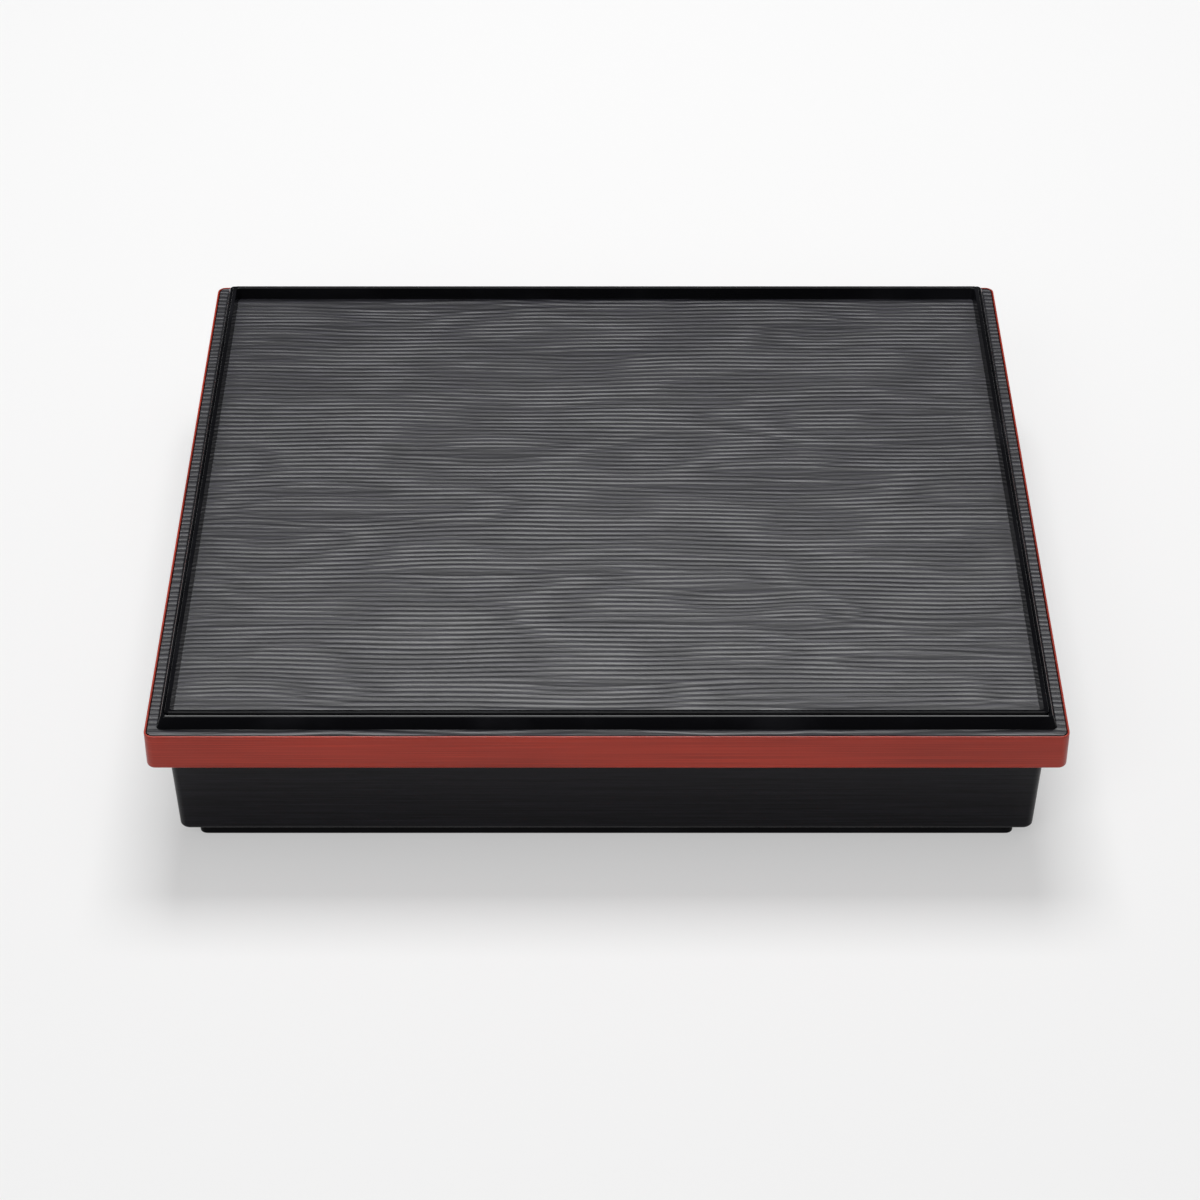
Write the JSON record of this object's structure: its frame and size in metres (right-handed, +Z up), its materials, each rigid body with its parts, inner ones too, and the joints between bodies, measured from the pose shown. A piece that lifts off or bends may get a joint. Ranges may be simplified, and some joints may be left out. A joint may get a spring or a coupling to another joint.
{
  "type": "bento box",
  "caption": "Low rectangular lacquered bento box with a red-skirted covering lid, a raised ring on the lid and a lift-out cross partition.",
  "frame": {"origin": "middle of the foot's underside, on the surface that the box stands on", "axes": "+Z up, +X along the long side, -Y towards the front"},
  "size_m": [0.303, 0.273, 0.0591],
  "materials": {
    "black_lacquer": "gloss, embossed with horizontal wood grain",
    "red_lacquer": "satin gloss with fine horizontal lines",
    "slat_lacquer": "satin"
  },
  "bodies": {
    "box": {"base_box": "black_lacquer"},
    "partition": {"long_divider": "slat_lacquer", "cross_divider": "slat_lacquer"},
    "lid": {"lid_top": "black_lacquer", "lid_rim": "red_lacquer"}
  },
  "joints": [
    {"name": "partition_lift", "type": "slide", "parent": "box", "child": "partition", "axis": [0, 0, 1], "range_m": [0, 0.06]},
    {"name": "lid_lift", "type": "slide", "parent": "partition", "child": "lid", "axis": [0, 0, 1], "range_m": [0, 0.08]}
  ]
}
